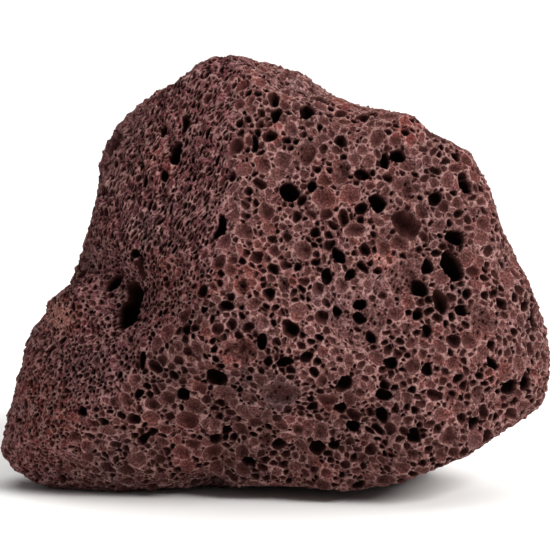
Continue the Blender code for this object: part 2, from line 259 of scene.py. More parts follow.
# The gas came out of the melt as bubbles. The cracks cut them open, so the skin is all
# round mouths with thin, sharp walls between them, coarse on the right of the lump
# and fine on the left, where the flow also drew them out. The larger ones of the
# front, from the top down: (across, up), width, height, turn of the width in degrees,
# depth.
FRONT_PITS = (
    (5.9, 68.6, 2.6, 3.1, 0, 3.0),
    (0.3, 68.1, 1.8, 3.5, -20, 2.8),
    (-16.0, 66.6, 1.3, 4.4, -10, 2.0),
    (-19.9, 65.4, 1.3, 3.4, -12, 1.8),
    (-3.6, 63.0, 1.3, 3.3, 10, 2.0),
    (-17.8, 61.3, 2.4, 5.1, -12, 3.9),
    (5.6, 61.3, 3.1, 5.1, 0, 1.2),
    (22.2, 60.8, 2.9, 2.6, 0, 2.9),
    (20.0, 59.9, 2.0, 3.1, 15, 2.7),
    (12.0, 57.7, 3.3, 5.5, 0, 1.3),
    (15.8, 57.5, 2.6, 2.6, 0, 2.7),
    (-20.0, 57.3, 1.4, 2.6, 10, 1.8),
    (7.0, 55.3, 2.0, 2.2, 0, 2.2),
    (34.4, 55.3, 2.7, 2.2, 0, 2.6),
    (24.0, 54.8, 1.8, 5.1, 0, 1.0),
    (2.5, 54.4, 3.6, 3.5, 0, 3.7),
    (28.9, 53.1, 2.6, 2.6, 0, 2.7),
    (18.5, 52.2, 3.3, 3.3, 0, 3.4),
    (23.8, 48.4, 6.2, 4.7, -35, 2.7),
    (-9.6, 47.8, 1.3, 4.9, -25, 3.3),
    (32.8, 46.0, 3.5, 3.1, 0, 3.4),
    (19.8, 44.3, 2.6, 3.6, 0, 0.9),
    (-25.1, 43.3, 2.0, 1.6, 0, 1.8),
    (11.6, 42.9, 2.0, 3.5, 30, 2.9),
    (27.6, 40.9, 2.0, 2.6, 0, 2.4),
    (32.2, 40.5, 3.5, 6.2, 25, 5.1),
    (-23.9, 40.3, 1.5, 6.4, 0, 1.7),
    (13.4, 39.4, 2.2, 2.2, 0, 2.3),
    (9.4, 39.2, 1.8, 3.1, 0, 2.6),
    (24.0, 38.7, 8.0, 7.3, 0, 1.4),
    (1.6, 37.8, 2.6, 3.5, 0, 0.9),
    (-5.7, 37.4, 2.9, 3.3, 0, 0.9),
    (-29.7, 37.2, 5.1, 2.0, 40, 3.5),
    (26.4, 36.7, 2.6, 3.6, 20, 3.3),
    (-25.1, 35.4, 3.8, 5.6, 15, 3.6),
    (29.8, 34.3, 2.9, 4.7, 15, 2.4),
    (15.4, 33.9, 2.6, 1.8, 0, 3.6),
    (11.4, 32.9, 2.2, 1.5, -30, 3.2),
    (15.4, 31.6, 2.3, 1.7, -20, 3.6),
    (33.7, 32.9, 2.0, 2.2, 0, 2.2),
    (25.8, 32.3, 2.4, 2.4, 0, 2.5),
    (47.0, 31.2, 2.0, 4.4, 10, 3.4),
    (-26.3, 31.4, 4.8, 5.8, 0, 7.0),
    (14.7, 31.0, 9.9, 10.6, 0, 1.3),
    (37.5, 30.6, 5.8, 6.6, 0, 1.5),
    (23.5, 29.7, 2.4, 2.4, 0, 0.7),
    (-15.4, 29.4, 2.2, 2.2, 0, 2.3),
    (27.3, 29.2, 2.0, 2.2, 0, 2.2),
    (17.4, 27.9, 1.8, 2.6, 0, 2.3),
    (-2.1, 27.4, 2.2, 3.1, 0, 2.8),
    (-6.5, 25.7, 6.9, 5.1, 0, 1.5),
    (-43.5, 25.2, 2.2, 2.2, 0, 0.7),
    (-41.1, 24.9, 1.3, 3.6, 5, 2.2),
    (5.6, 24.5, 2.6, 2.0, 0, 2.4),
    (-23.6, 23.7, 1.5, 3.6, 0, 2.7),
    (1.9, 23.7, 2.7, 1.8, 0, 2.4),
    (20.9, 23.4, 2.4, 2.4, 0, 2.5),
    (39.3, 23.2, 1.6, 3.3, 35, 2.6),
    (24.7, 23.0, 2.4, 3.3, 0, 0.8),
    (27.3, 22.4, 2.4, 2.4, 0, 2.5),
    (-10.5, 21.4, 3.6, 4.0, 20, 4.0),
    (12.3, 19.9, 2.9, 3.3, 0, 3.3),
    (45.4, 19.9, 2.2, 3.6, 10, 3.1),
    (42.6, 19.2, 3.1, 3.1, 0, 3.3),
    (-16.2, 18.2, 2.9, 2.9, 0, 3.1),
    (19.6, 17.9, 3.1, 2.2, -10, 2.8),
    (-24.2, 17.9, 1.7, 1.7, 0, 1.9),
    (1.0, 17.7, 8.4, 6.2, 0, 1.4),
    (31.5, 17.5, 2.7, 2.2, -20, 0.7),
    (36.6, 17.5, 3.3, 3.8, 0, 1.1),
    (23.8, 17.3, 2.6, 2.2, 0, 0.7),
    (12.1, 15.9, 2.4, 2.6, 0, 2.6),
    (-34.4, 14.5, 2.2, 2.0, 0, 2.1),
    (19.6, 14.4, 2.2, 3.3, 30, 2.9),
    (35.7, 12.6, 2.6, 2.2, 0, 2.5),
    (14.0, 12.4, 2.7, 2.6, 0, 2.8),
    (-8.7, 11.5, 2.2, 2.0, 0, 2.2),
    (25.1, 10.6, 2.7, 3.3, 0, 3.2),
    (-35.7, 10.0, 2.7, 2.7, 0, 0.8),
    (-23.6, 9.9, 1.6, 3.3, -35, 2.6),
    (-10.7, 9.9, 2.0, 2.6, 0, 2.4),
    (-1.7, 9.7, 2.9, 3.6, 0, 1.0),
    (0.8, 8.9, 2.2, 2.6, 0, 2.5),
    (29.1, 8.9, 1.6, 2.9, 0, 0.7),
    (10.7, 8.8, 2.2, 2.2, 0, 2.3),
    (7.9, 8.2, 2.6, 3.1, 0, 3.0),
    (25.1, 6.9, 2.6, 2.9, 0, 0.8),
    (-20.7, 6.0, 2.2, 2.2, 0, 0.7),
    (-4.3, 5.5, 3.1, 2.0, 0, 2.7),
)
# Seeded pits of the sides and the back, behind about the widest section. Most are
# small, and each has a few tries at a place clear of the others.
SIDE_PITS = 130
SIDE_PIT_RADII = (1.2, 3.4)
SIDE_PIT_RARITY = 2.2
SIDE_PIT_TRIES = 40
SIDE_PIT_OVAL = (0.8, 1.2)
SIDE_PIT_DEPTH = (0.5, 1.9)
SIDE_PIT_GAP = 0.35
# They start where a way from the heart looks this much away from the front.
SIDE_PIT_START = -0.12

# How far a pit's widest section lies below the skin, at least and at most, as a share
# of the half axis that runs in.
SINK_LIMITS = (-0.6, 0.45)
# A pit this deep for its half width is a hole, and a shallower one is a dish, whose
# floor has bubbles of its own, though none below the last depth.
HOLE_RATIO = 0.75
DISH_DEPTH = 2.8
# Pits that run into each other are followed through this many.
CHAIN_LENGTH = 3

# Where the fine bubbles of the left meet the coarse ones: (up, across).
FINE_EDGE = (
    (0.0, -40.0), (11.0, -33.7), (25.5, -22.7), (34.7, -13.6), (43.8, -9.0), (54.8, -8.1),
    (78.0, -5.4),
)
FINE_BLEND = 7.0
# The front reaches this far behind the widest section.
FRONT_END = 2.0
# Bubbles are blown in this order, the larger ones first, wherever there is still room:
# radius, then tries on the coarse side of the front, on its fine side, and elsewhere.
BUBBLES = (
    (1.65, 90, 0, 300),
    (1.30, 260, 0, 1200),
    (1.00, 900, 0, 3000),
    (0.80, 4000, 20, 8000),
    (0.66, 12000, 120, 14000),
    (0.54, 20000, 700, 12000),
    (0.44, 24000, 2600, 0),
    (0.36, 12000, 9000, 0),
)
BUBBLE_SPREAD = (0.88, 1.12)
BUBBLE_OVAL = 0.18
BUBBLE_OVERLAP = 0.18
BUBBLE_WALL = 0.15
# Cut open near its top a bubble is a shallow bowl, and lower down it is a deep hole:
# the share of bowls among the widest and the finest, and the least and the most depth
# of each kind, for its half width.
BOWL_SHARES = (0.9, 0.18)
BOWL_DEPTH = (0.3, 0.8)
HOLE_DEPTH = (0.9, 1.8)
# A bubble this shallow for its half width is a plain cap, and one this deep is a ball.
CAP_TO_BALL = (0.4, 1.0)
# A dish's floor starts this far down, and one place in this many there can hold a
# bubble.
FLOOR_DEPTH = 0.15
FLOOR_THINNING = 130
# Where the skin is rustier than this, a crust has filled its bubbles.
CRUST_RUST = 1.5
# Bubbles on the upper left are drawn out along the flow.
FLOW = (0.50, 0.10, 0.86)
FLOW_STRETCH = 1.9
FLOW_HEIGHT = 12.0
# Drawn out, a bubble reaches at most this many times the widest half width.
BUBBLE_REACH = 2.2

# Rust stains of the front, and ash-grey ones below 0: (across, up), radius, strength.
STAINS = (
    (-6.5, 25.7, 3.2, 1.3), (0.0, 64.8, 2.0, 1.2), (-5.7, 37.4, 1.8, 1.2),
    (38.8, 20.8, 1.6, 1.4), (-39.1, 31.9, 3.2, 2.4), (-43.0, 16.0, 8.0, 0.9),
    (24.2, 65.7, 3.2, 1.0), (3.8, 38.3, 1.8, 0.8), (-3.5, 74.8, 3.0, 0.5),
    (19.0, 42.4, 2.2, 2.2), (-36.0, 9.0, 8.0, 0.4), (-31.0, 30.0, 5.0, 0.4),
    (-12.0, 29.0, 3.0, 0.6), (-20.0, 41.0, 3.0, 0.9), (12.0, 70.0, 3.0, 0.8),
    (1.0, 17.7, 4.0, -1.0), (33.8, 36.5, 2.2, -0.7), (-27.0, 60.0, 6.0, -0.3),
    (-15.0, 50.0, 5.0, -0.3), (-22.0, 12.0, 7.0, -0.3), (14.7, 31.0, 4.5, -0.5),
    (-36.4, 23.0, 3.0, -0.7),
)

# The cells that keep the room left for bubbles, a distance that is far enough to make
# no difference, and the cubes whose points are worked out together.
ROOM_CELL = 0.3
FAR_GAP = 5.0
PATCH_SIZE = 3.0
# The ways of one cube's points spread, so pits are looked for this much further out.
PATCH_SPREAD = 1.15
# Unevenness of the skin, and of the mouths' outlines: (wavelength, size).
ROUGHNESS = ((3.2, 0.18), (1.3, 0.09), (0.7, 0.05))
MOUTH_WOBBLE = ((4.0, 0.14), (1.8, 0.08), (0.8, 0.02))
WAVES_PER_WANDER = 12

# The lump is worked out in millimetres, and its mesh is in metres.
MM = 0.001
STONE_TRIANGLES = 197_000
# How strongly the thinning of the mesh spares the front.
FRONT_CARE = 0.9


def pit(mouth, down, side, half_mouth, depth):
    """The centre of a pit's ellipsoid, and the matrix that maps it to the unit ball.
    A deep pit is widest below the skin, and a shallow one is the cap of an ellipsoid
    whose centre lies outside."""
    side = unit(side - down * (side @ down))
    sink = np.clip(depth / np.sum(half_mouth) - 0.5, *SINK_LIMITS)
    half_axes = np.append(half_mouth / math.sqrt(1.0 - sink**2), depth / (1.0 + sink))
    axes = np.stack((side, np.cross(side, down), down))
    return mouth + down * sink * half_axes[2], axes / half_axes[:, None]


def lie_of_the_skin(points, mouth, reach):
    """The middle of the points within reach of a mouth, and the way into the stone that
    is square to them: the axis along which they vary the least."""
    near = points[np.linalg.norm(points - mouth, axis=1) < reach]
    middle = near.mean(axis=0)
    square = np.linalg.eigh(np.cov((near - middle).T))[1][:, 0]
    return middle, square * np.sign(square @ inward(middle))


def front_pits(points):
    """Each listed pit, at the point of the front that is nearest to its place. A dish
    lies level with the skin round it."""
    front = points[points[:, 1] < 0.0]
    for across, up, width, height, turn, depth in FRONT_PITS:
        angle = math.radians(turn)
        side = np.array((math.cos(angle), 0.0, math.sin(angle)))
        half_mouth = 0.5 * np.array((width, height))
        off = (front[:, 0] - across) ** 2 + (front[:, 2] + HEART_HEIGHT - up) ** 2
        mouth = front[off.argmin()].astype(float)
        down = inward(mouth)
        if depth < HOLE_RATIO * half_mouth.mean():
            mouth, down = lie_of_the_skin(front, mouth, half_mouth.mean())
        yield *pit(mouth, down, side, half_mouth, depth), half_mouth.mean(), depth


def side_pits():
    """Seeded pits, the larger ones first, each clear of those before it."""
    rng = np.random.default_rng(SEED + 1)
    spots = np.zeros((0, 4))
    low, high = SIDE_PIT_RADII
    shares = np.sort(rng.uniform(size=SIDE_PITS) ** SIDE_PIT_RARITY)[::-1]
    radii = low + (high - low) * shares
    for radius in radii:
        ways = unit(rng.normal(size=(SIDE_PIT_TRIES, 3)))
        mouths = skin(ways[ways[:, 1] > SIDE_PIT_START])
        gaps = np.linalg.norm(spots[:, None, :3] - mouths, axis=2) - spots[:, 3:]
        free = np.flatnonzero((gaps > radius + SIDE_PIT_GAP).all(axis=0))
        if not len(free):
            continue
        mouth = mouths[free[0]]
        spots = np.vstack((spots, (*mouth, radius)))
        half_mouth = radius * rng.uniform(*SIDE_PIT_OVAL, 2)
        depth = radius * rng.uniform(*SIDE_PIT_DEPTH)
        side = rng.normal(size=3)
        yield *pit(mouth, inward(mouth), side, half_mouth, depth), radius, depth


def coarseness(points):
    """0 where the pits are fine and 1 where they are coarse: a smooth step in across
    over the edge between the two, which is a line read by height."""
    heights, edge = zip(*FINE_EDGE)
    off = points[:, 0] - np.interp(points[:, 2] + HEART_HEIGHT, heights, edge)
    step = np.clip(off / FINE_BLEND + 0.5, 0.0, 1.0)
    return step * step * (3.0 - 2.0 * step)


def stained(points):
    """How rusty the skin is: for each stain of the front, strength * exp(-(off /
    radius)^2), with off its distance in (across, up)."""
    total = np.zeros(len(points))
    for across, up, radius, strength in STAINS:
        off = np.hypot(points[:, 0] - across, points[:, 2] + HEART_HEIGHT - up)
        total += strength * np.exp(-((off / radius) ** 2))
    return np.where(points[:, 1] < FRONT_END, total, 0.0)


def wander(points, scales, seed):
    """A vector for each point: for each (wavelength, size), three seeded sums of sine
    waves, as in lumps."""
    rng = np.random.default_rng(seed)
    total = np.zeros(points.shape, np.float32)
    for wavelength, size in scales:
        for axis in range(3):
            ways = unit(rng.normal(size=(WAVES_PER_WANDER, 3)))
            ways = (ways * (2.0 * math.pi / wavelength)).astype(np.float32)
            phases = rng.uniform(0.0, 2.0 * math.pi, WAVES_PER_WANDER)
            for way, phase in zip(ways, phases):
                wave = size * np.sin(points @ way + phase)
                total[:, axis] += wave / math.sqrt(WAVES_PER_WANDER / 2.0)
    return total


def patches(points):
    """The indices of the points in each cube of space that holds some."""
    cube = np.floor(points / PATCH_SIZE).astype(np.int64) @ (1, 1000, 1000000)
    order = np.argsort(cube, kind="stable")
    return np.split(order, np.flatnonzero(np.diff(cube[order])) + 1)


def carved(points, ways, centres, to_ball, half_widths, is_hole):
    """How far each point moves in along its way: to where the chain of pits that it
    starts in, each entered before the one before it is left, comes to an end. Also the
    longest way through one of those pits for the pit's half width, and the distance to
    the nearest edge, below 0 inside a hole but not inside a dish."""
    reach = 1.0 / np.linalg.norm(to_ball, axis=2).min(axis=1)
    depth, ratio = np.zeros((2, len(points)), np.float32)
    clear = np.full(len(points), FAR_GAP, np.float32)
    for chosen in patches(points):
        middle, way = points[chosen].mean(axis=0), unit(ways[chosen].mean(axis=0))
        size = np.linalg.norm(points[chosen] - middle, axis=1).max()
        off = centres - middle
        aside = np.linalg.norm(off - np.outer(off @ way, way), axis=1)
        near = (aside < PATCH_SPREAD * size + reach) & (off @ way > -size - reach)
        start = np.einsum("kij,mkj->mki", to_ball[near], points[chosen, None] - centres[near])
        step = np.einsum("kij,mj->mki", to_ball[near], ways[chosen])
        start_step, speed = (start * step).sum(axis=2), (step**2).sum(axis=2)
        from_centre = (start**2).sum(axis=2)
        room = start_step**2 - speed * (from_centre - 1.0)
        half = np.sqrt(np.maximum(room, 0.0))
        enter, leave = (-start_step - half) / speed, (-start_step + half) / speed
        reached = np.zeros(len(chosen), np.float32)
        for _ in range(CHAIN_LENGTH):
            joined = (room > 0.0) & (enter <= reached[:, None])
            reached = np.maximum(reached, np.where(joined, leave, 0.0).max(axis=1, initial=0.0))
        depth[chosen] = reached
        through = (leave - np.maximum(enter, 0.0)) / half_widths[near]
        ratio[chosen] = np.where(joined, through, 0.0).max(axis=1, initial=0.0)
        edges = (np.sqrt(from_centre) - 1.0) * reach[near]
        edges = np.where(is_hole[near], edges, np.abs(edges))
        clear[chosen] = edges.min(axis=1, initial=FAR_GAP)
    return depth, ratio, clear


def blown_bubbles(sites, ways, pull, tries, clear):
    """Small bubbles at the sites: the centres and half widths of their mouths, the
    matrices that map each mouth to a unit circle, and their depths. A block of cells
    keeps each place's distance to the nearest mouth, (|M (place - centre)| - 1) times
    its half width. A bubble is blown where its centre's cell has room for most of it,
    as clear of holes and rims, and the cells round it are then lowered."""
    rng = np.random.default_rng(SEED + 2)
    corner = sites.min(axis=0) - FAR_GAP
    shape = np.ceil((np.ptp(sites, axis=0) + 2.0 * FAR_GAP) / ROOM_CELL).astype(int)
    room = np.full(shape, FAR_GAP, np.float32)

    def take(centre, matrix, radius):
        """Lowers the cells near a mouth to their distance from it."""
        margin = radius + BUBBLES[0][0]
        low = np.floor((centre - corner - margin) / ROOM_CELL).astype(int)
        high = np.ceil((centre - corner + margin) / ROOM_CELL).astype(int) + 1
        box = tuple(slice(one, two) for one, two in zip(low, high))
        steps = [(np.arange(one, two) + 0.5) * ROOM_CELL for one, two in zip(low, high)]
        place = np.stack(np.meshgrid(*steps, indexing="ij"), axis=-1) + corner - centre
        off = (np.linalg.norm(place @ matrix.T, axis=-1) - 1.0) * radius
        room[box] = np.minimum(room[box], off)

    flow = unit(np.array(FLOW))
    blown = []
    for radius, *numbers in BUBBLES:
        chosen = [rng.choice(group, number) for group, number in zip(tries, numbers)]
        chosen = rng.permutation(np.concatenate(chosen))
        sizes = radius * rng.uniform(*BUBBLE_SPREAD, len(chosen))
        cells = np.floor((sites[chosen] - corner) / ROOM_CELL).astype(int)
        enough = sizes * (1.0 - BUBBLE_OVERLAP)
        bowl_share = np.interp(radius, (BUBBLES[-1][0], BUBBLES[0][0]), BOWL_SHARES[::-1])
        free = (room[tuple(cells.T)] > enough) & (clear[chosen] > enough)
        for index in np.flatnonzero(free):
            if room[tuple(cells[index])] <= enough[index]:
                continue
            size, down = sizes[index], ways[chosen[index]]
            side = unit(np.cross(down, rng.normal(size=3)))
            oval = 1.0 + BUBBLE_OVAL * rng.uniform(-1.0, 1.0)
            axes = np.stack((side / oval, np.cross(side, down) * oval, down))
            longer = 1.0 + (FLOW_STRETCH - 1.0) * pull[chosen[index]]
            squeeze = np.eye(3) * math.sqrt(longer)
            squeeze += np.outer(flow, flow) * (1.0 / longer - math.sqrt(longer))
            matrix = axes @ squeeze / size
            take(sites[chosen[index]], matrix, size)
            kind = BOWL_DEPTH if rng.uniform() < bowl_share else HOLE_DEPTH
            blown.append((sites[chosen[index]], matrix, size, size * rng.uniform(*kind)))
    return tuple(np.array(parts, np.float32) for parts in zip(*blown))


def foamed(points, clear, centres, to_circle, half_widths, depths):
    """How deep each point sinks in the bubble that owns it, the one to whose edge it is
    nearest or in which it lies deepest. It lies inside by its distance to that edge, or
    to the middle of the wall to the next bubble or hole, whichever is less, and sinks
    by depth * (1 - (1 - inside / half width)^2)^power, with a power of 1/2 for the ball
    of a hole and 1 for the shallow cap of a bowl. Also that depth for the half width,
    and the distance inside."""
    sunk, ratio = np.zeros((2, len(points)), np.float32)
    inside = np.full(len(points), -FAR_GAP, np.float32)
    widest = half_widths.max()
    for chosen in patches(points):
        middle = points[chosen].mean(axis=0)
        size = np.linalg.norm(points[chosen] - middle, axis=1).max()
        away = np.linalg.norm(centres - middle, axis=1)
        near = np.flatnonzero(away < size + BUBBLE_REACH * widest)
        if not len(near):
            continue
        off = np.einsum("kij,mkj->mki", to_circle[near], points[chosen, None] - centres[near])
        edge = (np.linalg.norm(off, axis=2) - 1.0) * half_widths[near]
        owner = edge.argmin(axis=1)
        own = edge[np.arange(len(chosen)), owner]
        edge[np.arange(len(chosen)), owner] = FAR_GAP
        other = np.minimum(edge.min(axis=1), clear[chosen])
        within = np.minimum(-own, 0.5 * (other - own) - 0.5 * BUBBLE_WALL)
        half_width = half_widths[near][owner]
        share = np.clip(within / half_width, 0.0, 1.0)
        power = np.interp(depths[near][owner] / half_width, CAP_TO_BALL, (1.0, 0.5))
        sunk[chosen] = depths[near][owner] * (1.0 - (1.0 - share) ** 2) ** power
        ratio[chosen] = sunk[chosen] / half_width
        inside[chosen] = within
    return sunk, ratio, inside


def upright(points):
    """(across, away, up) turned by the lean, with the ground at 0, in metres."""
    across, away, up = points.T
    up = up + HEART_HEIGHT
    world_y = away * math.cos(LEAN) + up * math.sin(LEAN)
    world_z = up * math.cos(LEAN) - away * math.sin(LEAN)
    return np.stack((across, world_y, world_z), axis=1) * MM


stone_points = vertex_points(stone_mesh)
stone_ways = inward(stone_points).astype(np.float32)
coarse = coarseness(stone_points)
front = stone_points[:, 1] < FRONT_END
rust = stained(stone_points)
*pits, half_widths, pit_depths = zip(*front_pits(stone_points), *side_pits())
pits = [np.array(parts, np.float32) for parts in pits]
half_widths, pit_depths = np.array(half_widths), np.array(pit_depths)
is_hole = pit_depths > HOLE_RATIO * half_widths
mouth_points = stone_points + wander(stone_points, MOUTH_WOBBLE, SEED + 4)
pit_depth, pit_ratio, clear = carved(mouth_points, stone_ways, *pits, half_widths, is_hole)

sites = mouth_points + stone_ways * pit_depth[:, None]
open_sites = (pit_depth < DISH_DEPTH) & (clear > 0.0)
open_sites &= rust < CRUST_RUST
open_sites &= (pit_depth < FLOOR_DEPTH) | (np.arange(len(sites)) % FLOOR_THINNING == 0)
tries = [
    np.flatnonzero(open_sites & front & (coarse > 0.5)),
    np.flatnonzero(open_sites & front & (coarse <= 0.5)),
    np.flatnonzero(open_sites & ~front),
]
pull = (1.0 - coarse) * np.clip(stone_points[:, 2] / FLOW_HEIGHT, 0.0, 1.0)
bubbles = blown_bubbles(sites, stone_ways, pull, tries, clear)
bubble_depth, bubble_ratio, inside = foamed(sites, clear, *bubbles)

rough = (wander(stone_points, ROUGHNESS, SEED + 5) * stone_ways).sum(axis=1)
stone_points += stone_ways * (pit_depth + bubble_depth + rough)[:, None]
stone_mesh.vertices.foreach_set("co", stone_points.astype(np.float32).ravel())
measures = {
    "coarse": coarse,
    "depth": np.maximum(pit_ratio, bubble_ratio),
    "gap": np.minimum(-inside, clear),
    "rust": rust,
}
for name, values in measures.items():
    layer = stone_mesh.attributes.new(name, "FLOAT", "POINT")
    layer.data.foreach_set("value", values.astype(np.float32))
stone_mesh.update()
ratio = STONE_TRIANGLES / (2.0 * len(stone_mesh.polygons))
stone_mesh = finished(
    stone_mesh, "DECIMATE", kept=front, ratio=ratio, vertex_group_factor=FRONT_CARE,
)
stone_points = upright(vertex_points(stone_mesh))
stone_points[:, 2] = np.maximum(stone_points[:, 2], 0.0)
cad_middle = [0.5 * (low + high) for low, high in zip(cad_low, cad_high)]
stone_middle = 0.5 * (stone_points.min(axis=0) + stone_points.max(axis=0))
stone_points[:, :2] += np.array(cad_middle[:2]) - stone_middle[:2]
stone_mesh.vertices.foreach_set("co", stone_points.astype(np.float32).ravel())
stone_mesh.name = "lava_rock_stone"
stone_mesh.shade_smooth()
stone = bpy.data.objects.new("lava_rock_stone", stone_mesh)
bpy.context.scene.collection.objects.link(stone)
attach(stone, "root")
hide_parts("lava_rock")

# Broken scoria is dull, mauve to brick red with its iron oxide. Along the thin walls between
# the pits it is painted paler, partly dust and partly painted highlight, and down in the pits
# it is painted almost black, which is painted shade.
# The next two colours are painted shade, for the hollows and for the deep holes.
CAVITY_PAINTED_SHADE = "#120403"
HOLLOW_PAINTED_SHADE = "#3d201d"
BODY_BROWN = "#5f3d3a"
FLOW_PLUM = "#64383b"
BRICK_RED = "#763b35"
ASH_MAUVE = "#553e40"
DUSTY_PINK = "#95625a"
# This pale pink is partly dust and partly painted highlight on the thin walls.
WALL_DUST_AND_HIGHLIGHT = "#a8807b"
# Sizes of the broad patches, the spots, the grains of glass and the finest bubbles. The
# last two are drawn coarser than the real ones, which would be too fine to show.
BROAD_PATCH = 11.0
MOTTLE = 1.6
GRAIN = 0.4
FINE_BUBBLE = 0.78
FINE_STRETCH = 1.4
FLOW_TURN = math.atan2(FLOW[0], FLOW[2])


def linear(hex_colour):
    """An sRGB hex colour as linear red, green, blue and alpha 1."""
    srgb = np.array([int(hex_colour[i : i + 2], 16) for i in (1, 3, 5)]) / 255.0
    light = np.where(srgb <= 0.04045, srgb / 12.92, ((srgb + 0.055) / 1.055) ** 2.4)
    return (*light.tolist(), 1.0)


def add_node(tree, kind, inputs=None, **settings):
    """Adds a node. Inputs gives, by name or number, the socket that feeds each one or its
    value, and settings are the node's own."""
    node = tree.nodes.new(kind)
    for name, value in settings.items():
        setattr(node, name, value)
    for name, value in (inputs or {}).items():
        if isinstance(value, bpy.types.NodeSocket):
            tree.links.new(value, node.inputs[name])
        else:
            node.inputs[name].default_value = value
    return node


def per_metre(millimetres):
    """The pattern scale, in cells per metre, of features this far apart."""
    return 1.0 / (millimetres * MM)


scoria = bpy.data.materials.new("red_scoria_broken")
scoria.use_nodes = True
tree = scoria.node_tree
tree.nodes.clear()
place = add_node(tree, "ShaderNodeTexCoord").outputs["Object"]
depth = add_node(tree, "ShaderNodeAttribute", attribute_name="depth").outputs["Fac"]
gap = add_node(tree, "ShaderNodeAttribute", attribute_name="gap").outputs["Fac"]
rust = add_node(tree, "ShaderNodeAttribute", attribute_name="rust").outputs["Fac"]
coarse_skin = add_node(tree, "ShaderNodeAttribute", attribute_name="coarse").outputs["Fac"]
broad = add_node(
    tree, "ShaderNodeTexNoise",
    {"Vector": place, "Scale": per_metre(BROAD_PATCH), "Detail": 5.0, "Roughness": 0.65},
).outputs["Fac"]
mottle = add_node(
    tree, "ShaderNodeTexNoise",
    {"Vector": place, "Scale": per_metre(MOTTLE), "Detail": 4.0, "Roughness": 0.65},
).outputs["Fac"]
grain = add_node(
    tree, "ShaderNodeTexNoise",
    {"Vector": place, "Scale": per_metre(GRAIN), "Detail": 3.0, "Roughness": 0.7},
).outputs["Fac"]

# Plum where the bubbles are fine and brown where they are coarse, with broad patches
# that have ragged borders: redder where the iron rusted, mauve where there is more ash,
# and pink where a stain is strongest.
ragged_rust = add_node(
    tree, "ShaderNodeMath", {0: mottle, 1: 1.4, 2: rust}, operation="MULTIPLY_ADD",
).outputs[0]
stain = add_node(
    tree, "ShaderNodeMapRange",
    {"Value": ragged_rust, "From Min": 0.95, "From Max": 1.5, "To Max": 0.9},
    interpolation_type="SMOOTHSTEP",
).outputs[0]
red_patch = add_node(
    tree, "ShaderNodeMapRange",
    {"Value": broad, "From Min": 0.48, "From Max": 0.7, "To Max": 0.6},
    interpolation_type="SMOOTHSTEP",
).outputs[0]
redness = add_node(
    tree, "ShaderNodeMath", {0: stain, 1: red_patch}, operation="MAXIMUM",
).outputs[0]
body = add_node(
    tree, "ShaderNodeMix", {0: coarse_skin, 6: linear(FLOW_PLUM), 7: linear(BODY_BROWN)},
    data_type="RGBA",
).outputs[2]
reddened = add_node(
    tree, "ShaderNodeMix", {0: redness, 6: body, 7: linear(BRICK_RED)}, data_type="RGBA",
).outputs[2]
ash = add_node(
    tree, "ShaderNodeMapRange",
    {"Value": ragged_rust, "From Min": 0.5, "From Max": -0.1, "To Max": 0.9},
    interpolation_type="SMOOTHSTEP",
).outputs[0]
ash_patch = add_node(
    tree, "ShaderNodeMapRange",
    {"Value": broad, "From Min": 0.45, "From Max": 0.32, "To Max": 0.7},
    interpolation_type="SMOOTHSTEP",
).outputs[0]
ashiness = add_node(
    tree, "ShaderNodeMath", {0: ash, 1: ash_patch}, operation="MAXIMUM",
).outputs[0]
ashen = add_node(
    tree, "ShaderNodeMix", {0: ashiness, 6: reddened, 7: linear(ASH_MAUVE)}, data_type="RGBA",
).outputs[2]
pinkness = add_node(
    tree, "ShaderNodeMapRange",
    {"Value": ragged_rust, "From Min": 1.6, "From Max": 2.2}, interpolation_type="SMOOTHSTEP",
).outputs[0]
patched = add_node(
    tree, "ShaderNodeMix", {0: pinkness, 6: ashen, 7: linear(DUSTY_PINK)}, data_type="RGBA",
).outputs[2]

# The glass is broken grain by grain, each a little darker or paler than the next.
grain_shade = add_node(
    tree, "ShaderNodeMapRange",
    {"Value": grain, "From Min": 0.38, "From Max": 0.64, "To Min": 0.4, "To Max": 1.75},
).outputs[0]
grainy = add_node(
    tree, "ShaderNodeMix", {0: 1.0, 6: patched, 7: grain_shade},
    data_type="RGBA", blend_type="MULTIPLY",
).outputs[2]

# Bubbles too fine for the mesh lie between the others, most of them on the left, drawn
# out along the flow: round dots, some deep and some shallow, with paler walls. The dark
# of the deep dots is painted shade, and their paler walls are dust and painted highlight.
along_flow = add_node(
    tree, "ShaderNodeMapping",
    {"Vector": place, "Rotation": (0.0, FLOW_TURN, 0.0), "Scale": (1.0, 1.0, FINE_STRETCH)},
    vector_type="TEXTURE",
).outputs[0]
fine = add_node(
    tree, "ShaderNodeTexVoronoi", {"Vector": along_flow, "Scale": per_metre(FINE_BUBBLE)},
)
fine_kind = add_node(
    tree, "ShaderNodeSeparateColor", {"Color": fine.outputs["Color"]},
).outputs["Red"]
fewest = add_node(
    tree, "ShaderNodeMapRange", {"Value": coarse_skin, "To Min": 0.05, "To Max": 0.4},
).outputs[0]
fine_chance = add_node(
    tree, "ShaderNodeMath", {0: fine_kind, 1: fewest}, operation="SUBTRACT",
).outputs[0]
fine_deep = add_node(
    tree, "ShaderNodeMapRange", {"Value": fine_chance, "From Max": 0.3},
).outputs[0]
fine_dot = add_node(
    tree, "ShaderNodeMapRange",
    {"Value": fine.outputs["Distance"], "From Min": 0.46, "From Max": 0.24},
    interpolation_type="SMOOTHSTEP",
).outputs[0]
on_skin = add_node(
    tree, "ShaderNodeMapRange",
    {"Value": gap, "From Min": -0.05, "From Max": 0.12}, interpolation_type="SMOOTHSTEP",
).outputs[0]
deep_dot = add_node(
    tree, "ShaderNodeMath", {0: fine_deep, 1: fine_dot}, operation="MULTIPLY",
).outputs[0]
fine_pit = add_node(
    tree, "ShaderNodeMath", {0: deep_dot, 1: on_skin}, operation="MULTIPLY",
).outputs[0]
